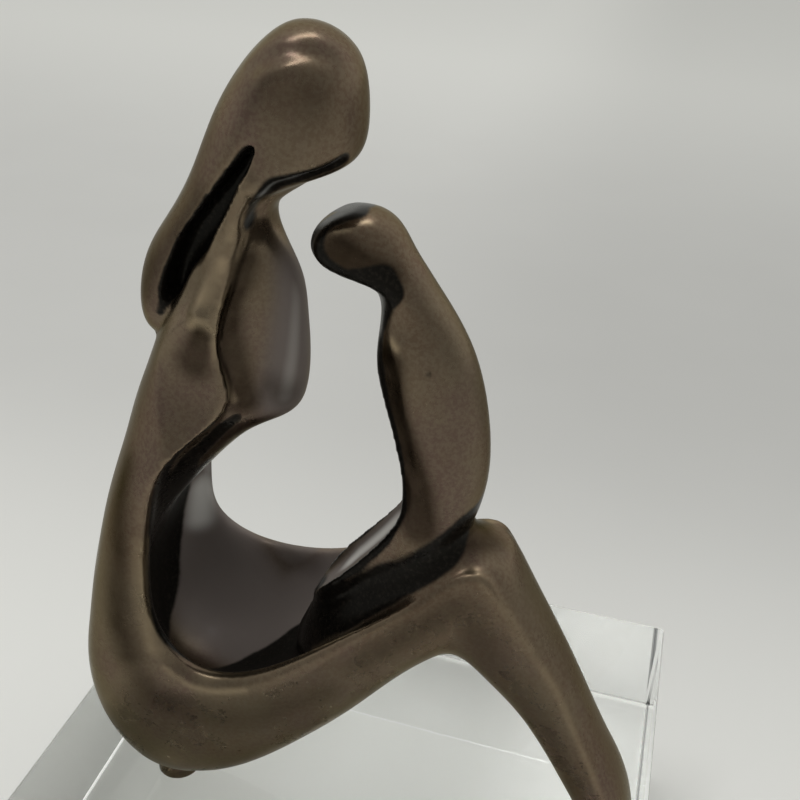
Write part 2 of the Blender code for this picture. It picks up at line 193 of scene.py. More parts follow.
# The leaf-shaped hollow beside the hair: x, h.
LEAF_OUTLINE = (
    (-6.9, 139.8), (-10.4, 131.0), (-13.6, 124.4), (-17.2, 118.4), (-21.4, 113.2),
    (-23.6, 108.8), (-25.6, 105.4), (-27.0, 108.2), (-25.8, 112.8), (-22.4, 120.0),
    (-17.4, 126.6), (-12.6, 132.6),
)
LEAF_WEB = 3.4                # half the thickness of bronze left between the two hollows
LEAF_MOUTH = 14.0             # outside the widest part of the head
LEAF_FLOOR_SHARE = 0.72       # the leaf's floor against its mouth
LEAF_FLOOR_SPOT = (-19.6, 119.6)   # the floor shrinks towards here

# How the rings are drawn between those points, as in the solid.
FLANK_CURVE = ((0.07, 0.48), (0.30, 0.86), (0.68, 1.00))
RIM_OUTER_CORNER = (0.5, 0.25)
RIM_INNER_CORNER = 0.6
DIP_ACROSS = (0.78, 0.42)
RIM_COLUMNS = (5, 11)

# What fills the crease under the child: front and back point (x, h) and half width, as the head.
SEAT_SECTIONS = (
    ((-7.5, 44.5), (-3.5, 37.5), 4.0),
    ((-2.6, 54.0), (4.0, 41.0), 9.0),
    ((3.8, 61.0), (10.5, 47.0), 10.4),
    ((10.6, 67.4), (17.0, 53.0), 9.4),
    ((17.6, 72.2), (22.0, 60.0), 8.2),
    ((22.6, 73.6), (25.0, 63.0), 6.8),
    ((25.6, 72.2), (26.6, 66.0), 3.6),
)

# Faces filed on both sides: a point of the face (x, y, h), the way it faces, the radius of its
# hollow, how far it reaches, where it begins to fade, and how soft its border is.
FILED_FACES = (
    ((-3.5, 9.0, 136.5), (0.05, 1.0, 0.04), 300.0, 15.0, 0.6, 0.30),
    ((-20.6, 11.3, 99.0), (0.0, 1.0, 0.14), 30.0, 30.0, 0.8, 0.10),
)

# Strokes of the file along lines on both sides: name, points (x, h, half width), radius, depth.
# A negative depth leaves a ridge.
FILE_STROKES = (
    ("temple", ((-10.5, 144.2, 6.6), (-5.3, 146.2, 6.7), (-0.6, 146.0, 5.6)), 2.6, 0.50),
    ("brow", ((-8.8, 142.6, 8.6), (-5.5, 144.0, 8.4), (-2.6, 144.6, 7.6)), 2.0, -0.20),
    ("jaw", ((0.9, 131.9, 4.6), (-3.0, 130.0, 7.4), (-6.4, 128.6, 8.6), (-9.0, 125.8, 8.0)), 1.8, 0.7),
    ("strap", ((-10.6, 127.4, 9.6), (-13.4, 120.8, 8.8), (-15.8, 113.6, 9.8), (-17.2, 109.6, 11.4)),
     3.6, -0.95),
    ("child's shoulder", ((8.4, 108.4, 4.9), (10.0, 106.5, 5.9)), 3.0, -0.35),
    ("child's arm", ((9.6, 102.0, 5.4), (10.8, 96.0, 5.6), (13.6, 87.0, 6.4)), 3.6, 0.45),
    ("child's brow", ((0.4, 122.4, 5.8), (3.4, 123.2, 5.2)), 1.8, -0.25),
)
# Lines along which neighbouring forms are blended into each other: points (x, h, half width),
# radius at the start and at the end.
BLENDED_LINES = (
    ("under the child", ((-4.0, 48.0, 5.0), (3.0, 52.5, 9.0), (10.0, 59.5, 8.0), (17.0, 66.0, 7.0),
                         (24.0, 71.5, 3.0)), 6.5, 6.5),
    ("beside the strap", ((-11.4, 119.5, 5.7), (-12.8, 116.2, 7.4), (-14.4, 110.7, 8.2),
                          (-15.2, 105.8, 8.4), (-14.4, 99.2, 8.2), (-13.3, 94.3, 7.8)), 2.6, 3.2),
    ("boss", ((-32.9, 11.0, 0.0), (-32.9, 7.0, 0.0)), 6.0, 5.5),
)

# Where the patina is left black, under the child together with painted shade: name, points (x, h, y),
# radius at the start and at the end, and whether both sides have it, where the sign of y doesn't count.
BLACK_STROKES = (
    ("jaw", ((1.0, 132.2, 4.6), (-0.8, 131.0, 6.4), (-3.0, 130.0, 7.8), (-6.4, 128.7, 9.0),
             (-8.8, 125.9, 8.2), (-10.3, 122.2, 6.6)), 1.9, 2.8, True),
    ("under the arm", ((-13.8, 91.2, -8.2), (-15.7, 89.8, -9.5), (-18.2, 86.7, -10.4),
                       (-20.7, 83.7, -10.9), (-23.2, 78.7, -10.2)), 1.3, 4.0, False),
    # Black patina and painted shade: the crease under the child lies in shadow.
    ("under the child", ((-3.4, 52.0, -6.0), (2.0, 56.4, -7.5), (8.0, 61.6, -7.5),
                         (14.0, 67.0, -6.8), (19.4, 72.4, -6.2), (22.6, 77.0, -4.0),
                         (24.2, 79.0, 0.0)), 6.2, 3.2, True),
    ("child's face", ((1.6, 124.6, 1.6), (-0.8, 123.6, 3.2), (-2.6, 121.8, 4.6), (-3.0, 119.4, 5.4),
                      (-1.2, 117.0, 5.8), (2.6, 115.4, 5.2)), 3.4, 3.0, True),
    ("child's throat", ((4.0, 116.2, 5.6), (7.8, 116.8, 5.4), (8.8, 114.6, 5.2), (6.8, 111.6, 4.0)),
     2.4, 2.8, True),
    ("child's neck", ((7.4, 112.6, 4.6), (6.4, 108.0, 3.4)), 2.8, 2.2, True),
    ("child's front edge", ((6.4, 107.0, 3.4), (6.4, 103.6, 3.8), (8.2, 96.0, 4.2), (11.0, 87.2, 5.0),
                            (12.4, 79.0, 5.4), (10.2, 72.4, 6.0), (5.2, 65.8, 6.4),
                            (0.2, 60.2, 5.8), (-3.6, 55.6, 3.0)), 2.1, 0.9, True),
)
# The middle line of the hollow from under the arm to the lap: x, h.
HOLLOW_LINE = (
    (-6.0, 98.0), (-11.0, 91.0), (-16.0, 83.0), (-20.0, 74.0), (-21.0, 62.0), (-14.0, 53.0),
    (-4.0, 58.0), (2.0, 64.0),
)
# The same on what faces that line.
BOWL_STROKES = (
    ("back wall", ((-32.0, 76.0, 0.0), (-34.0, 63.0, 2.0), (-34.8, 52.0, 1.5), (-34.5, 47.5, 0.5),
                   (-31.5, 44.5, -7.0)), 12.5, 7.5, False),
    ("under the arm", ((-12.8, 92.6, -7.8), (-15.7, 89.8, -9.5), (-18.2, 86.9, -10.4),
                       (-21.0, 83.0, -10.9)), 3.4, 6.5, False),
    ("near wall", ((-21.0, 83.0, -10.9), (-23.6, 78.0, -10.5), (-26.0, 72.7, -10.0),
                   (-29.0, 64.0, -11.0), (-30.0, 52.0, -11.0), (-25.5, 43.0, -13.0)), 6.5, 9.0, False),
    ("near lap", ((-18.0, 38.0, -11.0), (-12.0, 38.0, -5.5), (-7.0, 42.0, -1.5), (-2.0, 48.0, 0.0)),
     6.5, 9.5, False),
)
# Painted shade, browner and darker than around: where faces turn from the light, in creases and
# under the breast, the shoulder and the child, as the strokes above, with a strength.
PAINTED_SHADE_STROKES = (
    ("child's arm", ((9.2, 103.8, 5.2), (9.8, 99.0, 5.0), (10.6, 95.0, 5.3), (12.4, 91.0, 6.0),
                     (14.6, 84.0, 6.6), (15.6, 77.0, 7.0)), 4.4, 4.8, 1.6, True),
    ("child's cheek", ((1.6, 119.6, 6.2), (4.5, 118.2, 6.2), (8.0, 116.6, 5.4)), 4.8, 4.0, 1.6, True),
    ("breast", ((-12.0, 116.4, 6.2), (-12.6, 114.0, 6.8), (-14.2, 110.7, 7.8), (-14.8, 105.8, 8.0),
                (-14.0, 99.2, 7.6), (-12.8, 94.3, 7.4)), 3.2, 4.8, 1.2, True),
    ("under the breast", ((-7.5, 94.3, 4.0), (-9.4, 96.4, 5.3)), 4.5, 4.0, 0.6, True),
    ("under the shoulder", ((-17.5, 105.6, 11.5), (-18.8, 101.5, 11.2)), 3.2, 5.0, 1.3, True),
    ("flank", ((-31.0, 82.0, 14.0), (-31.0, 68.0, 17.6), (-31.8, 55.0, 18.8), (-30.0, 48.0, 19.2)),
     5.0, 5.5, 0.95, True),
    ("hip", ((-30.0, 48.0, 19.2), (-26.0, 40.5, 19.6), (-18.5, 37.5, 19.9), (-8.0, 39.5, 19.0),
             (4.0, 47.0, 16.0)), 5.5, 4.5, 0.45, True),
    ("far rim", ((-26.0, 55.0, 15.5), (-19.0, 47.5, 16.8), (-9.0, 46.0, 16.0)), 4.5, 4.5, 0.45, True),
    ("cheek", ((-8.0, 141.6, 8.8), (-2.4, 140.2, 9.0)), 6.0, 6.0, 0.4, True),
    ("hair", ((-19.0, 126.0, 8.6), (-24.0, 118.0, 8.4), (-28.0, 110.0, 7.6)), 4.5, 4.5, 0.7, True),
    ("knee", ((22.6, 74.0, 4.0), (25.6, 72.4, 0.0)), 5.0, 5.5, 1.1, True),
    ("thigh", ((8.0, 53.0, 13.0), (15.0, 58.0, 11.6), (22.4, 64.0, 8.8)), 5.0, 6.0, 0.6, True),
    ("shin", ((22.4, 64.0, 8.8), (38.0, 43.0, 6.4), (48.0, 25.0, 6.4)), 5.0, 5.0, 0.4, True),
)
# Dust and painted light in the bowl of the lap and on its far wall: matt, greyer bronze, lighter
# than the shade inside the lap leaves it.
DUST_AND_SHEEN_STROKES = (
    ("lap", ((-30.0, 54.0, 10.0), (-25.0, 42.0, 8.0), (-15.0, 39.0, 4.0), (-6.0, 46.0, 8.0)),
     17.0, 13.0, 0.72, False),
    ("far wall", ((-22.0, 84.0, 11.0), (-27.0, 72.0, 14.0), (-26.0, 58.0, 16.0), (-14.0, 50.0, 17.0)),
     9.0, 8.0, 0.60, False),
)
# Painted sheen: where the lap's far wall and the child's lap catch the light, that grey is palest.
PAINTED_SHEEN_STROKES = (
    ("far wall", ((-22.0, 82.0, 12.0), (-27.5, 71.0, 14.2), (-31.2, 60.0, 13.6), (-31.4, 54.0, 12.6)),
     5.0, 5.0, 1.0, False),
    ("child's lap", ((9.0, 70.0, 3.0), (5.0, 64.0, 3.0), (2.0, 60.0, 2.4)), 4.5, 4.5, 0.9, False),
)
# Painted sheen: greyer, lighter bronze where the breast and the child's lap face the light, with a
# strength.
GREY_SHEEN_STROKES = (
    ("breast", ((-5.6, 120.0, 2.6), (-5.8, 110.0, 2.6), (-6.4, 101.0, 3.4), (-7.4, 94.0, 4.0)),
     5.5, 7.5, 0.80, True),
    ("child's lap", ((10.0, 72.0, 3.0), (7.0, 66.5, 3.0), (3.2, 61.7, 3.0), (-1.0, 57.0, 0.4)),
     5.5, 4.5, 0.72, False),
)
# Golden strokes, with a strength: painted highlights and glints where crests, rims and ridges catch
# the light, and along the strap's edge and the shin's edge bronze that hands and polish have also
# kept golden.
GOLDEN_WEAR_AND_HIGHLIGHT_STROKES = (
    ("strap", ((-12.6, 123.2, 9.0), (-13.2, 121.2, 9.4)), 1.6, 2.0, 0.75, True),
    ("strap's foot", ((-14.4, 117.2, 10.1), (-15.6, 114.0, 10.9), (-16.6, 111.6, 11.5)),
     2.0, 2.6, 1.0, True),
    ("shoulder", ((-19.2, 107.1, 11.6), (-17.6, 108.7, 12.2), (-16.4, 108.6, 12.2), (-15.6, 107.4, 12.0)),
     1.1, 1.1, 1.0, True),
    ("strap's edge", ((-10.8, 123.0, 7.2), (-12.2, 118.4, 8.0), (-13.4, 113.9, 9.7), (-14.2, 111.2, 10.8),
                      (-14.9, 108.2, 11.4), (-15.2, 104.9, 11.4), (-15.6, 101.2, 10.6),
                      (-14.8, 97.4, 9.6), (-13.8, 94.6, 8.8)), 1.1, 1.3, 0.75, True),
    ("shoulder's back", ((-21.5, 108.0, 12.0), (-24.0, 102.5, 12.6)), 3.5, 3.5, 0.30, True),
    ("shin's edge", ((25.1, 71.1, 7.6), (32.0, 62.8, 7.3), (40.5, 49.2, 6.1), (54.9, 19.6, 7.4)),
     1.6, 1.0, 0.50, True),
    ("knee", ((24.0, 71.2, 7.6), (24.8, 71.0, 7.0)), 1.7, 1.7, 0.8, True),
    ("lap's edge", ((-26.6, 70.0, -16.6), (-27.4, 60.0, -17.2), (-25.4, 50.2, -18.4),
                    (-15.9, 47.2, -18.9), (-1.8, 53.4, -17.0), (11.5, 62.6, -12.9)), 3.2, 1.4, 0.75, False),
    ("lap's outer edge", ((-23.5, 46.8, -19.2), (-18.7, 44.4, -19.7), (-14.2, 44.7, -19.7),
                          (-9.0, 46.2, -19.2)), 1.0, 1.0, 0.60, False),
    ("child's brow", ((0.8, 122.5, 5.9), (3.2, 123.2, 5.4)), 0.6, 0.6, 0.9, True),
    ("child's temple", ((4.0, 123.9, 3.8), (5.2, 123.7, 3.6)), 0.6, 0.6, 0.9, True),
    ("child's shoulder", ((9.3, 107.2, 5.6), (10.2, 106.4, 6.0)), 1.2, 1.2, 1.0, True),
    ("under the child", ((3.0, 55.4, 8.4), (6.4, 58.4, 8.0)), 0.5, 0.5, 0.7, True),
)
# Small pits of the casting: x, y, h of the near side, and radius.
PITS = (
    (15.2, -6.0, 103.2, 0.34), (15.1, -6.9, 82.4, 0.30), (-6.5, -10.2, 133.6, 0.26),
    (5.0, -5.8, 119.6, 0.30), (-19.4, -12.6, 93.0, 0.24), (24.0, -8.0, 52.0, 0.26),
)


def place(x, y, height):
    """A point of the pose, in metres in the part's frame."""
    hip_share = min(max((KNEE - x) / (KNEE - HIP_RIM), 0.0), 1.0)
    set_back = x - FAR_SIDE_BACK * hip_share * y
    if y > 0:
        stops, lifts = zip(*FAR_RIM_LIFT)
        share = min(max((LIFT_ENDS - height) / LIFT_FADES_OVER, 0.0), 1.0) * y / FAR_RIM_Y
        height += share * float(np.interp(x, stops, lifts))
    return (set_back * STEP + POSE_SHIFT, y * STEP, BLOCK_HIGH.z + height * STEP)


def in_steps(points):
    """Points in metres, read in steps: x, y and the height above the block."""
    return (points - np.array([POSE_SHIFT, 0.0, BLOCK_HIGH.z])) / STEP


def smoothstep(low, high, value):
    """0 up to low, 1 from high on, and a smooth turn between."""
    share = np.clip((value - low) / (high - low), 0.0, 1.0)
    return share * share * (3 - 2 * share)


def section_ring(section):
    """The closed ring of one body section, from the outer point round the +Y side and back."""
    (bx, bh), (rx, rh, ry), (fx, fh), width, rim, dips = section
    half = [(bx, 0.0, bh)]
    for along, across in FLANK_CURVE:
        half.append((bx + along * (rx - bx), across * width, bh + along * (rh - bh)))
    towards_outer, beyond_rim = RIM_OUTER_CORNER
    outward = towards_outer * rim / math.hypot(bx - rx, bh - rh)
    half.append((rx + outward * (bx - rx), ry + beyond_rim * rim, rh + outward * (bh - rh)))
    inner_y = ry - RIM_INNER_CORNER * rim
    half.append((rx, inner_y, rh))
    for dip, across in zip(dips, DIP_ACROSS):
        half.append((rx + dip * (fx - rx), across * inner_y, rh + dip * (fh - rh)))
    half.append((fx, 0.0, fh))
    mirrored = [(x, -y, h) for x, y, h in half[-2:0:-1]]
    return [place(*point) for point in half + mirrored]


def drop_ring(section):
    """The closed ring of one section of the head, an ellipse."""
    (fx, fh), (bx, bh), width = section
    ring = []
    for index in range(HEAD_RING_POINTS):
        turn = 2 * math.pi * index / HEAD_RING_POINTS
        along = (1 - math.cos(turn)) / 2
        ring.append(place(bx + along * (fx - bx), width * math.sin(turn), bh + along * (fh - bh)))
    return ring


def limit_of(grid, creases, rim_columns):
    """Where Catmull-Clark subdivision carries each point of an open stack of closed rings."""
    before = np.concatenate([grid[:1], grid[:-1]])
    after = np.concatenate([grid[1:], grid[-1:]])
    along = (before + 4 * grid + after) / 6
    around = (np.roll(along, 1, axis=1) + 4 * along + np.roll(along, -1, axis=1)) / 6
    for column in rim_columns:
        hold = creases[:, None]
        around[:, column] = hold * along[:, column] + (1 - hold) * around[:, column]
    return around


def cage_through(rings, creases, rim_columns):
    """The control cage whose subdivided surface passes through the rings."""
    wanted = np.array(rings)
    cage = wanted.copy()
    for _ in range(CAGE_ROUNDS):
        cage += wanted - limit_of(cage, creases, rim_columns)
    return cage


def link_mesh(name, form):
    """An object from a bmesh, which is used up."""
    bmesh.ops.recalc_face_normals(form, faces=form.faces)
    mesh = bpy.data.meshes.new(name)
    form.to_mesh(mesh)
    form.free()
    piece = bpy.data.objects.new(name, mesh)
    bpy.context.scene.collection.objects.link(piece)
    return piece


def loft(name, rings, rim_crease=None, rim_columns=()):
    """A closed body through a stack of rings, smoothed by subdivision."""
    creases = np.array(rim_crease if rim_crease else (0.0,) * len(rings))
    cage = cage_through(rings, creases, rim_columns)
    around = cage.shape[1]
    form = bmesh.new()
    crease_layer = form.edges.layers.float.new("crease_edge")
    rows = [[form.verts.new(Vector(point)) for point in ring] for ring in cage]
    for lower, upper in zip(rows[:-1], rows[1:]):
        for k in range(around):
            nxt = (k + 1) % around
            form.faces.new((lower[k], lower[nxt], upper[nxt], upper[k]))
    form.faces.new(rows[0][::-1])
    form.faces.new(rows[-1])
    for column in rim_columns:
        for index in range(len(rows) - 1):
            edge = form.edges.get((rows[index][column], rows[index + 1][column]))
            edge[crease_layer] = min(creases[index], creases[index + 1])
    piece = link_mesh(name, form)
    smoother = piece.modifiers.new("smooth form", "SUBSURF")
    smoother.levels = SMOOTH_LEVELS
    smoother.render_levels = SMOOTH_LEVELS
    return piece


def leaf_cutter(side):
    """The cutter of the hollow beside the hair, on the side that the sign gives."""
    spot_x, spot_h = LEAF_FLOOR_SPOT
    form = bmesh.new()
    rows = []
    for depth, share in ((LEAF_WEB, LEAF_FLOOR_SHARE), (LEAF_MOUTH, 1.0)):
        row = []
        for x, h in LEAF_OUTLINE:
            corner = place(
                spot_x + share * (x - spot_x), side * depth, spot_h + share * (h - spot_h)
            )
            row.append(form.verts.new(Vector(corner)))
        rows.append(row)
    count = len(LEAF_OUTLINE)
    for k in range(count):
        nxt = (k + 1) % count
        form.faces.new((rows[0][k], rows[0][nxt], rows[1][nxt], rows[1][k]))
    form.faces.new(rows[0][::-1])
    form.faces.new(rows[1])
    return link_mesh("leaf_cutter", form)


def boss():
    """The round boss that the hips stand on."""
    top = Vector(place(*BOSS_SPOT, BOSS_TOP))
    foot = Vector(place(*BOSS_SPOT, BELOW_BLOCK_TOP))
    form = bmesh.new()
    bmesh.ops.create_cone(
        form, cap_ends=True, segments=BOSS_SIDES, radius1=BOSS_RADIUS, radius2=BOSS_RADIUS,
        depth=(top - foot).length, matrix=Matrix.Translation((top + foot) / 2),
    )
    return link_mesh("boss", form)


def floor_cutter():
    """Everything below the plane that the casting stands on."""
    form = bmesh.new()
    middle = Matrix.Translation((0, 0, FIGURE_LOW.z - CUTTER_REACH))
    bmesh.ops.create_cube(form, size=2 * CUTTER_REACH, matrix=middle)
    return link_mesh("floor_cutter", form)


def boolean(target, tool, operation):
    """Join or cut the target with the tool."""
    step = target.modifiers.new(operation.lower(), "BOOLEAN")
    step.operation = operation
    step.solver = "EXACT"
    step.object = tool


def settle(piece, helpers=()):
    """Apply a piece's modifiers and take the helpers away."""
    graph = bpy.context.evaluated_depsgraph_get()
    mesh = bpy.data.meshes.new_from_object(piece.evaluated_get(graph))
    piece.modifiers.clear()
    old = piece.data
    piece.data = mesh
    bpy.data.meshes.remove(old)
    for helper in helpers:
        bpy.data.objects.remove(helper, do_unlink=True)


def read_points(mesh):
    """The mesh's points as an array."""
    points = np.empty(len(mesh.vertices) * 3)
    mesh.vertices.foreach_get("co", points)
    return points.reshape(-1, 3)


def read_normals(mesh):
    """The normals at the mesh's points."""
    normals = np.empty(len(mesh.vertices) * 3, np.float32)
    mesh.vertex_normals.foreach_get("vector", normals)
    return normals.reshape(-1, 3).astype(float)


def read_edges(mesh):
    """The two ends of each edge."""
    ends = np.empty(len(mesh.edges) * 2, np.int32)
    mesh.edges.foreach_get("vertices", ends)
    return ends.reshape(-1, 2)


def spread(values, ends, rounds):
    """Average each point's value with its neighbours', round after round."""
    count = len(values)
    degree = np.bincount(ends.ravel(), minlength=count)
    flat = values.reshape(count, -1).astype(float)
    for _ in range(rounds):
        total = np.stack(
            [
                np.bincount(ends[:, 0], flat[ends[:, 1], c], count)
                + np.bincount(ends[:, 1], flat[ends[:, 0], c], count)
                for c in range(flat.shape[1])
            ],
            axis=1,
        )
        flat = 0.5 * flat + 0.5 * total / np.maximum(degree, 1)[:, None]
    return flat.reshape(values.shape)


def file_faces(steps):
    """Press back what stands proud of each filed face, on both sides."""
    for middle, facing, hollow, reach, fade, softness in FILED_FACES:
        for side in (-1, 1):
            mirror = np.array([1.0, side, 1.0])
            spot = np.array(middle) * mirror
            normal = np.array(facing) * mirror
            normal /= np.linalg.norm(normal)
            centre = spot + normal * hollow
            out = steps - centre
            distance = np.linalg.norm(out, axis=1)
            beyond = hollow - distance
            weight = smoothstep(1.0, fade, np.linalg.norm(steps - spot, axis=1) / reach)
            push = softness * np.logaddexp(0.0, np.clip(beyond / softness, -40, 40))
            steps = steps + out / distance[:, None] * (push * weight)[:, None]
    return steps


def nearness(steps, points, start, end, core=0.45):
    """1 about a line through the points and 0 from the radius on, which runs from start to end."""
    line = np.array([(x, y, h) for x, h, y in points])
    stops = np.concatenate([[0.0], np.cumsum(np.linalg.norm(np.diff(line, axis=0), axis=1))])
    nearest = np.full(len(steps), np.inf)
    for first, last, here, there in zip(line[:-1], line[1:], stops[:-1], stops[1:]):
        way = last - first
        share = np.clip((steps - first) @ way / (way @ way), 0.0, 1.0)
        distance = np.linalg.norm(steps - first - share[:, None] * way, axis=1)
        along = (here + share * (there - here)) / stops[-1]
        nearest = np.minimum(nearest, distance / (start + along * (end - start)))
    return smoothstep(1.0, core, nearest)


def file_strokes(steps, normals):
    """Draw each stroke of the file into the surface, on both sides."""
    folded = steps * [1.0, 0.0, 1.0] + np.abs(steps) * [0.0, 1.0, 0.0]
    moved = np.zeros(len(steps))
    for _, points, radius, depth in FILE_STROKES:
        moved -= depth * nearness(folded, points, radius, radius, 0.0)
    return steps + normals * moved[:, None]


def near_side(points):
    """The points on the near side, where y is below 0, of strokes given with a half width."""
    return [(x, h, -abs(y)) for x, h, y in points]


def strongest_stroke(steps, strokes, core):
    """The strongest of the strokes at each point."""
    folded = steps * [1.0, 0.0, 1.0] - np.abs(steps) * [0.0, 1.0, 0.0]
    strongest = np.zeros(len(steps))
    for _, points, start, end, *rest in strokes:
        strength = rest[0] if len(rest) > 1 else 1.0
        if rest[-1]:
            share = nearness(folded, near_side(points), start, end, core)
        else:
            share = nearness(steps, points, start, end, core)
        strongest = np.maximum(strongest, strength * share)
    return strongest


def faces_hollow(steps, normals):
    """1 where the surface faces the middle line of the hollow, 0 where it is turned away."""
    line = np.array([(x, 0.0, h) for x, h in HOLLOW_LINE])
    nearest = np.full(len(steps), np.inf)
    facing = np.zeros(len(steps))
    for first, last in zip(line[:-1], line[1:]):
        way = last - first
        share = np.clip((steps - first) @ way / (way @ way), 0.0, 1.0)
        across = first + share[:, None] * way - steps
        distance = np.linalg.norm(across, axis=1)
        closer = distance < nearest
        nearest = np.where(closer, distance, nearest)
        facing = np.where(closer, (across * normals).sum(axis=1) / distance, facing)
    return smoothstep(*TURNED_TO_HOLLOW, facing)


def casting_mesh():
    """Mother and child in one skin, at full detail."""
    mother_rings = [section_ring(section) for section in MOTHER_SECTIONS]
    figure = loft("bronze_casting", mother_rings, MOTHER_RIM_CREASE, RIM_COLUMNS)
    head = loft("head", [drop_ring(section) for section in HEAD_SECTIONS])
    child_rings = [section_ring(section) for section in CHILD_SECTIONS]
    child = loft("child", child_rings, CHILD_RIM_CREASE, RIM_COLUMNS)
    seat = loft("seat", [drop_ring(section) for section in SEAT_SECTIONS])
    helpers = [head, child, seat, boss()]
    for limb in helpers:
        boolean(figure, limb, "UNION")
    for side in (-1, 1):
        helpers.append(leaf_cutter(side))
        boolean(figure, helpers[-1], "DIFFERENCE")
    skin = figure.modifiers.new("casting skin", "REMESH")
    skin.mode = "VOXEL"
    skin.voxel_size = FINE_VOXEL
    settle(figure, helpers)
    mesh = figure.data
    points = read_points(mesh)
    ends = read_edges(mesh)
    steps = in_steps(points)
    blended = spread(steps, ends, BLEND_ROUNDS)
    folded = steps * [1.0, 0.0, 1.0] + np.abs(steps) * [0.0, 1.0, 0.0]
    for _, line, start, end in BLENDED_LINES:
        share = nearness(folded, line, start, end)[:, None]
        steps = steps + share * (blended - steps)
    steps = file_faces(steps)
    steps = file_strokes(steps, read_normals(mesh))
    steps = spread(steps, ends, POLISH_ROUNDS)
    steps[:, 2] *= min(1.0, CROWN / steps[:, 2].max())
    points = steps * STEP + np.array([POSE_SHIFT, 0.0, BLOCK_HIGH.z])
    mesh.vertices.foreach_set("co", points.ravel())
    mesh.update()
    triangles = 2 * len(mesh.polygons)
    if triangles > TRIANGLE_BUDGET:
        fewer = figure.modifiers.new("fewer facets", "DECIMATE")
        fewer.ratio = TRIANGLE_BUDGET / triangles
    floor = floor_cutter()
    boolean(figure, floor, "DIFFERENCE")
    settle(figure, [floor])
    for polygon in figure.data.polygons:
        polygon.use_smooth = True
    return figure


def enclosure(mesh):
    """How much of the sky over each point its neighbours hide, from 0 to 1."""
    points = read_points(mesh)
    normals = read_normals(mesh)
    tree = BVHTree.FromPolygons(
        [tuple(p) for p in points], [tuple(f.vertices) for f in mesh.polygons]
    )
    golden = math.pi * (3 - math.sqrt(5))
    fan = []
    for k in range(SKY_RAYS):
        up = math.sqrt(1 - (k + 0.5) / SKY_RAYS)
        out = math.sqrt(1 - up * up)
        fan.append((out * math.cos(k * golden), out * math.sin(k * golden), up))
    fan = np.array(fan)
    helper = np.where(np.abs(normals[:, 2:]) < 0.9, [[0.0, 0.0, 1.0]], [[1.0, 0.0, 0.0]])
    side = np.cross(helper, normals)
    side /= np.linalg.norm(side, axis=1, keepdims=True) + 1e-12
    front = np.cross(normals, side)
    starts = points + normals * SKY_START
    hidden = np.zeros(len(points))
    cast = tree.ray_cast
    for x, y, z in fan:
        ways = side * x + front * y + normals * z
        for index, (start, way) in enumerate(zip(starts, ways)):
            distance = cast(start, way, SKY_REACH)[3]
            if distance is not None:
                hidden[index] += 1.0 - FAR_HIDES_LESS * distance / SKY_REACH
    return hidden / SKY_RAYS


def add_attribute(mesh, name, values):
    """A number kept at each point for the material."""
    layer = mesh.attributes.new(name, "FLOAT", "POINT")
    layer.data.foreach_set("value", np.clip(values, 0, 1).astype(np.float32))


def patina_and_painted_light_masks(figure):
    """Where the patina gathers and where handling has worn it, and where shade, highlights and sheen are
    painted.
    """
    mesh = figure.data
    ends = read_edges(mesh)
    points = read_points(mesh)
    normals = read_normals(mesh)
    steps = in_steps(points)
    x, h = steps[:, 0], steps[:, 2]
    hidden = spread(enclosure(mesh), ends, SKY_ROUNDS)
    rise = ((points - spread(points, ends, RISE_ROUNDS)) * normals).sum(axis=1) / STEP
    in_leaf = (h > LEAF_BOTTOM) & (h < LEAF_TOP) & (x < LEAF_FRONT)
    leaf_x = np.array([p[0] for p in LEAF_OUTLINE])
    leaf_h = np.array([p[1] for p in LEAF_OUTLINE])
    inside = np.zeros(len(points), bool)
    for k in range(len(leaf_x)):
        ax, ah = leaf_x[k], leaf_h[k]
        bx, bh = leaf_x[k - 1], leaf_h[k - 1]
        crossing = (ah > h) != (bh > h)
        at = ax + (h - ah) * (bx - ax) / ((bh - ah) if bh != ah else 1e-9)
        inside ^= crossing & (x < at)
    leaf = smoothstep(*LEAF_DARK, hidden) * (in_leaf & inside)
    closed_in = faces_hollow(steps, normals)
    bowl = strongest_stroke(steps, BOWL_STROKES, BOWL_CORE) * closed_in
    black = np.maximum.reduce([strongest_stroke(steps, BLACK_STROKES, BLACK_CORE), bowl, leaf])
    for px, py, ph, radius in PITS:
        distance = np.linalg.norm(steps - np.array([px, py, ph]), axis=1)
        black = np.maximum(black, smoothstep(PIT_STAIN * radius, radius, distance))
    # Golden: painted highlights and glints, and edges worn golden.
    golden = strongest_stroke(steps, GOLDEN_WEAR_AND_HIGHLIGHT_STROKES, 0.0)
    black *= 1.0 - BLACK_KEPT_OFF_GOLD * golden
    add_attribute(mesh, "hollow", smoothstep(*HOLLOW_DARK, hidden) * (1.0 - golden))
    add_attribute(mesh, "black", spread(black, ends, 2))
    # Painted shade where faces turn from the light and in creases.
    add_attribute(mesh, "painted_shade", strongest_stroke(steps, PAINTED_SHADE_STROKES, 0.0) * (1.0 - golden))
    # Dust and painted light in the lap and on its far wall.
    dust_and_sheen = strongest_stroke(steps, DUST_AND_SHEEN_STROKES, DUST_CORE) * closed_in
    # Painted sheen where the breast and the child's lap face the light.
    dust_and_sheen = np.maximum(dust_and_sheen, strongest_stroke(steps, GREY_SHEEN_STROKES, 0.0))
    # Painted sheen, palest where the light catches.
    sheen_share = strongest_stroke(steps, PAINTED_SHEEN_STROKES, 0.0) * (dust_and_sheen > DUST_THICK)
    add_attribute(mesh, "dust_and_sheen", dust_and_sheen + PALE_SHEEN * sheen_share)
    # Real edge wear on the crests, together with the painted golden highlights.
    add_attribute(mesh, "worn_and_highlit", np.maximum(WORN_AT_MOST * smoothstep(*RISE_WORN, rise), golden))


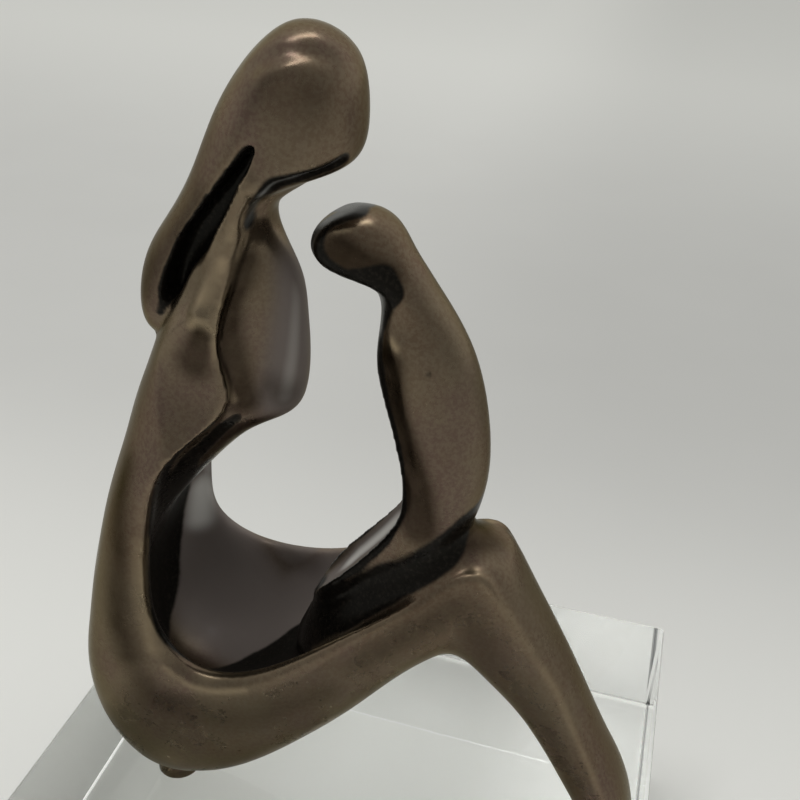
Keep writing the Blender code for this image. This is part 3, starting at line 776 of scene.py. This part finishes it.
class Nodes:
    """Short names for building one material's node tree."""

    def __init__(self, name):
        self.material = bpy.data.materials.new(name)
        self.material.use_nodes = True
        self.tree = self.material.node_tree
        self.shader = self.tree.nodes["Principled BSDF"]

    def add(self, kind, **settings):
        node = self.tree.nodes.new(kind)
        for key, value in settings.items():
            setattr(node, key, value)
        return node

    def link(self, source, target):
        self.tree.links.new(source, target)

    def feed(self, socket, value):
        """Link a socket, or set it where the value is plain."""
        if isinstance(value, bpy.types.NodeSocket):
            self.link(value, socket)
        else:
            socket.default_value = value

    def attribute(self, name):
        return self.add("ShaderNodeAttribute", attribute_name=name).outputs["Fac"]

    def place(self, scale=(1, 1, 1), turn=(0, 0, 0)):
        """The point in the object's own frame, stretched."""
        coords = self.add("ShaderNodeTexCoord")
        mapping = self.add("ShaderNodeMapping")
        mapping.inputs["Scale"].default_value = scale
        mapping.inputs["Rotation"].default_value = turn
        self.link(coords.outputs["Object"], mapping.inputs["Vector"])
        return mapping.outputs["Vector"]

    def noise(self, vector, scale, detail=3.0, roughness=0.5):
        node = self.add("ShaderNodeTexNoise")
        self.link(vector, node.inputs["Vector"])
        node.inputs["Scale"].default_value = scale
        node.inputs["Detail"].default_value = detail
        node.inputs["Roughness"].default_value = roughness
        return node.outputs["Fac"]

    def spread(self, value, low, high, to_low=0.0, to_high=1.0):
        """Map a range of values on to another, smoothly."""
        node = self.add("ShaderNodeMapRange", interpolation_type="SMOOTHSTEP")
        self.feed(node.inputs["Value"], value)
        for key, number in (
            ("From Min", low), ("From Max", high), ("To Min", to_low), ("To Max", to_high)
        ):
            node.inputs[key].default_value = number
        return node.outputs["Result"]

    def maths(self, operation, first, second=0.0):
        node = self.add("ShaderNodeMath", operation=operation)
        self.feed(node.inputs[0], first)
        self.feed(node.inputs[1], second)
        return node.outputs[0]

    def blend(self, share, first, second):
        """Mix two colours."""
        node = self.add("ShaderNodeMix", data_type="RGBA")
        self.feed(node.inputs[0], share)
        for socket, value in ((node.inputs[6], first), (node.inputs[7], second)):
            self.feed(socket, (*value, 1.0) if isinstance(value, tuple) else value)
        return node.outputs[2]

    def bump(self, height, strength, distance, normal=None):
        node = self.add("ShaderNodeBump")
        self.link(height, node.inputs["Height"])
        node.inputs["Strength"].default_value = strength
        node.inputs["Distance"].default_value = distance
        if normal is not None:
            self.link(normal, node.inputs["Normal"])
        return node.outputs["Normal"]


def bronze_material():
    """Brown-olive patina on bronze: black in hollows, golden where it is worn, finely brushed; with painted
    shade where faces turn from the light, painted highlights on rims and crests, and painted sheen in the
    lap.
    """
    n = Nodes("bronze patina")
    hollow = n.attribute("hollow")
    black = n.attribute("black")
    shade = n.attribute("painted_shade")
    dust_and_sheen = n.attribute("dust_and_sheen")
    worn_and_highlit = n.attribute("worn_and_highlit")
    space = n.place()
    broad = n.noise(space, 38.0, 3.0, 0.55)
    mottle = n.noise(space, 130.0, 4.0, 0.6)
    cloud = n.noise(n.place((1.0, 1.0, 0.6)), 70.0, 3.0, 0.6)
    grain = n.noise(space, 1500.0, 3.0, 0.6)
    streaks = n.noise(n.place((1.0, 1.0, 0.12), (0.2, 0.35, 0.0)), 2600.0, 2.0, 0.5)

    olive = n.blend(n.spread(broad, 0.36, 0.64), (0.124, 0.085, 0.057), (0.142, 0.109, 0.073))
    reddish = n.spread(cloud, 0.44, 0.64, 0.0, 0.75)
    tone = n.blend(reddish, olive, (0.122, 0.080, 0.066))
    speckled = n.blend(n.spread(grain, 0.35, 0.65, 0.0, 0.45), tone, (0.185, 0.150, 0.104))
    # Golden rub: real edge wear, and painted highlights and glints along rims and crests.
    rubbed_and_highlit = n.blend(
        n.maths("MULTIPLY", worn_and_highlit, n.spread(mottle, 0.30, 0.60, 0.35, 0.80)), speckled,
        (0.34, 0.265, 0.170),
    )
    # Dust and painted light: greyer, matt bronze in the lap.
    grey_dust_and_sheen = n.blend(n.spread(dust_and_sheen, 0.0, 0.72, 0.0, 0.92), rubbed_and_highlit, (0.195, 0.166, 0.154))
    # Painted sheen: palest where the far wall and the child's lap catch the light.
    with_pale_sheen = n.blend(n.spread(dust_and_sheen, 0.70, 1.05), grey_dust_and_sheen, (0.74, 0.72, 0.69))
    gathered = n.maths("MULTIPLY", hollow, n.spread(mottle, 0.25, 0.75, 0.60, 0.35))
    deep = n.blend(gathered, with_pale_sheen, (0.050, 0.040, 0.036))
    # Painted shade: darker umber where faces turn from the light and in creases.
    shade_share = n.maths("MULTIPLY", shade, n.spread(mottle, 0.25, 0.75, 1.0, 0.70))
    with_painted_shade = n.blend(shade_share, deep, (0.026, 0.017, 0.010))
    ragged = n.maths("ADD", black, n.maths("MULTIPLY", n.spread(mottle, 0.25, 0.75, -0.18, 0.18),
                                           n.spread(black, 0.12, 0.5)))
    # Black patina, and painted shade in the crease under the child.
    black_patina_and_shade = n.blend(n.spread(grain, 0.45, 0.75), (0.0060, 0.0050, 0.0041), (0.018, 0.0148, 0.0120))
    covered = n.spread(ragged, 0.20, 0.80)
    n.link(n.blend(covered, with_painted_shade, black_patina_and_shade), n.shader.inputs["Base Color"])

    bare = n.spread(ragged, 0.20, 0.80, 0.92, 0.20)
    n.link(n.maths("MULTIPLY", bare, n.spread(dust_and_sheen, 0.0, 0.72, 1.0, 0.22)), n.shader.inputs["Metallic"])
    shine = n.maths("ADD", n.spread(mottle, 0.3, 0.7, 0.22, 0.30), n.maths("MULTIPLY", grain, 0.06))
    shine = n.maths("ADD", shine, n.spread(dust_and_sheen, 0.0, 0.72, 0.0, 0.34))
    n.link(shine, n.shader.inputs["Roughness"])
    brushed = n.bump(streaks, 0.10, 0.00004)
    n.link(n.bump(grain, 0.18, 0.00006, brushed), n.shader.inputs["Normal"])
    n.shader.inputs["Specular Tint"].default_value = (0.52, 0.50, 0.42, 1.0)
    n.shader.inputs["Specular IOR Level"].default_value = 0.12
    n.shader.inputs["Coat Weight"].default_value = 0.06
    n.shader.inputs["Coat Roughness"].default_value = 0.22
    return n.material


def acrylic_material():
    """Clear acrylic with a faint, slightly uneven tint."""
    n = Nodes("clear acrylic")
    space = n.place()
    haze = n.noise(space, 60.0, 3.0, 0.6)
    n.link(n.spread(haze, 0.3, 0.7, 0.0, 0.004), n.shader.inputs["Roughness"])
    tint = n.blend(haze, (0.995, 1.0, 0.992), (0.975, 0.985, 0.968))
    n.link(tint, n.shader.inputs["Base Color"])
    n.shader.inputs["Transmission Weight"].default_value = 1.0
    n.shader.inputs["IOR"].default_value = 1.49
    return n.material


def floor_material():
    """Matt off-white paper, whiter under the block, which gathers light on to it; its light and shade are
    painted: a pool of light in front and far back, shade behind to the right, a painted shadow under the
    block's left and a painted glow under its right.
    """
    n = Nodes("pale paper")
    space = n.place()
    split = n.add("ShaderNodeSeparateXYZ")
    n.link(space, split.inputs["Vector"])
    covered = 1.0
    for axis, low, high in (("X", BLOCK_LOW.x, BLOCK_HIGH.x), ("Y", BLOCK_LOW.y, BLOCK_HIGH.y)):
        along = split.outputs[axis]
        past_low = n.spread(along, low - PATCH_BORDER, low + PATCH_BORDER)
        past_high = n.spread(along, high - PATCH_BORDER, high + PATCH_BORDER, 1.0, 0.0)
        covered = n.maths("MULTIPLY", covered, n.maths("MULTIPLY", past_low, past_high))
    fibre = n.noise(space, 14.0, 2.0, 0.5)
    # Painted pool of light: the paper lighter in front of the block and far behind it.
    near = n.spread(split.outputs["Y"], 0.02, 0.24, 1.0, 0.0)
    far = n.spread(split.outputs["Y"], 0.35, 1.00)
    painted_light_pool = n.maths("ADD", near, far)
    mid_tone = n.blend(fibre, (0.605, 0.60, 0.585), (0.635, 0.63, 0.615))
    paper = n.blend(painted_light_pool, mid_tone, (0.84, 0.835, 0.81))
    # Painted shade: the paper darker behind the block, towards the right.
    painted_shade_patch = n.maths("MULTIPLY", n.spread(split.outputs["X"], -0.15, 0.04),
                     n.spread(split.outputs["Y"], 0.12, 0.32, 0.0, 0.13))
    paper = n.blend(painted_shade_patch, paper, (0.0, 0.0, 0.0))
    # Under the block, a painted shadow on the left and painted light on the right.
    under_block_light_and_shade = n.blend(n.spread(split.outputs["X"], BLOCK_LOW.x, 0.0), (0.66, 0.66, 0.63), (1.0, 1.0, 0.98))
    n.link(n.blend(covered, paper, under_block_light_and_shade), n.shader.inputs["Base Color"])
    # Painted glow: the paper under the block's right side glows, for light the block gathers on to it.
    gathered = n.spread(split.outputs["X"], 0.015, 0.05, 0.0, 0.20)
    n.link(n.maths("MULTIPLY", covered, gathered), n.shader.inputs["Emission Strength"])
    n.shader.inputs["Emission Color"].default_value = (1.0, 1.0, 0.97, 1.0)
    n.shader.inputs["Roughness"].default_value = 0.9
    n.shader.inputs["Specular IOR Level"].default_value = 0.1
    return n.material


def bronze_piece():
    """The casting, which stands for the solid of the same pose."""
    figure = casting_mesh()
    patina_and_painted_light_masks(figure)
    figure.data.materials.clear()
    figure.data.materials.append(bronze_material())
    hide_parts("bronze_figure")
    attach(figure, "root")
    return figure


def block_piece():
    """The clear block, with rounded and polished edges."""
    form = bmesh.new()
    size = BLOCK_HIGH - BLOCK_LOW
    bmesh.ops.create_cube(form, size=1.0)
    middle = (BLOCK_HIGH + BLOCK_LOW) / 2
    for vertex in form.verts:
        vertex.co = middle + Vector([vertex.co[i] * size[i] for i in range(3)])
    bmesh.ops.bevel(
        form, geom=form.edges[:], offset=BLOCK_BEVEL, segments=BEVEL_STEPS, profile=0.5,
        affect="EDGES",
    )
    block = link_mesh("clear_block", form)
    for polygon in block.data.polygons:
        polygon.use_smooth = polygon.area < BEVEL_FACE
    block.data.materials.append(acrylic_material())
    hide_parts("acrylic_base")
    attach(block, "root")
    return block


def add_floor():
    """A pale sweep under everything."""
    form = bmesh.new()
    bmesh.ops.create_grid(form, x_segments=2, y_segments=2, size=FLOOR_HALF)
    floor = link_mesh("paper_floor", form)
    floor.location.z = BLOCK_LOW.z - FLOOR_GAP
    floor.data.materials.append(floor_material())


def add_ceiling_light():
    """One long soft light overhead, a rectangle that faces the part."""
    data = bpy.data.lights.new("long ceiling light", "AREA")
    data.shape = "RECTANGLE"
    data.size, data.size_y = CEILING_SIZE
    data.energy = CEILING_POWER
    lamp = bpy.data.objects.new("long ceiling light", data)
    lamp.location = CEILING_SPOT
    way = Vector(CEILING_TARGET) - Vector(CEILING_SPOT)
    lamp.rotation_euler = way.to_track_quat("-Z", "Y").to_euler()
    bpy.context.scene.collection.objects.link(lamp)


def add_room():
    """A pale room, dimmer towards the viewer."""
    scene = bpy.context.scene
    world = bpy.data.worlds.new("pale room")
    scene.world = world
    world.use_nodes = True
    tree = world.node_tree
    background = tree.nodes["Background"]
    coords = tree.nodes.new("ShaderNodeTexCoord")
    dot = tree.nodes.new("ShaderNodeVectorMath")
    dot.operation = "DOT_PRODUCT"
    dot.inputs[1].default_value = Vector(ROOM_BRIGHTEST).normalized()
    ramp = tree.nodes.new("ShaderNodeMapRange")
    ramp.interpolation_type = "SMOOTHSTEP"
    for key, number in ROOM_RANGE:
        ramp.inputs[key].default_value = number
    tree.links.new(coords.outputs["Generated"], dot.inputs[0])
    tree.links.new(dot.outputs["Value"], ramp.inputs["Value"])
    tree.links.new(ramp.outputs["Result"], background.inputs["Strength"])
    background.inputs["Color"].default_value = ROOM_COLOUR
    scene.view_settings.view_transform = "Standard"


def add_camera():
    """The photograph's viewpoint, fitted to the block's edges and the upright lines."""
    data = bpy.data.cameras.new("camera")
    data.sensor_width = SENSOR_WIDTH
    data.lens = CAMERA_LENS
    camera = bpy.data.objects.new("camera", data)
    bpy.context.scene.collection.objects.link(camera)
    pitch, roll, yaw = map(math.radians, (CAMERA_PITCH, CAMERA_ROLL, CAMERA_YAW))
    right = Vector((1.0, 0.0, 0.0))
    ahead = Vector((0.0, math.cos(pitch), -math.sin(pitch)))
    down = Vector((0.0, -math.sin(pitch), -math.cos(pitch)))
    rolled_right = math.cos(roll) * right + math.sin(roll) * down
    rolled_down = -math.sin(roll) * right + math.cos(roll) * down
    turn = Matrix.Rotation(yaw, 3, "Z")
    axes = Matrix((turn @ rolled_right, -(turn @ rolled_down), -(turn @ ahead))).transposed()
    camera.matrix_world = Matrix.Translation(CAMERA_SPOT) @ axes.to_4x4()
    bpy.context.scene.camera = camera


add_camera()
bronze_piece()
block_piece()
add_floor()
add_room()
add_ceiling_light()
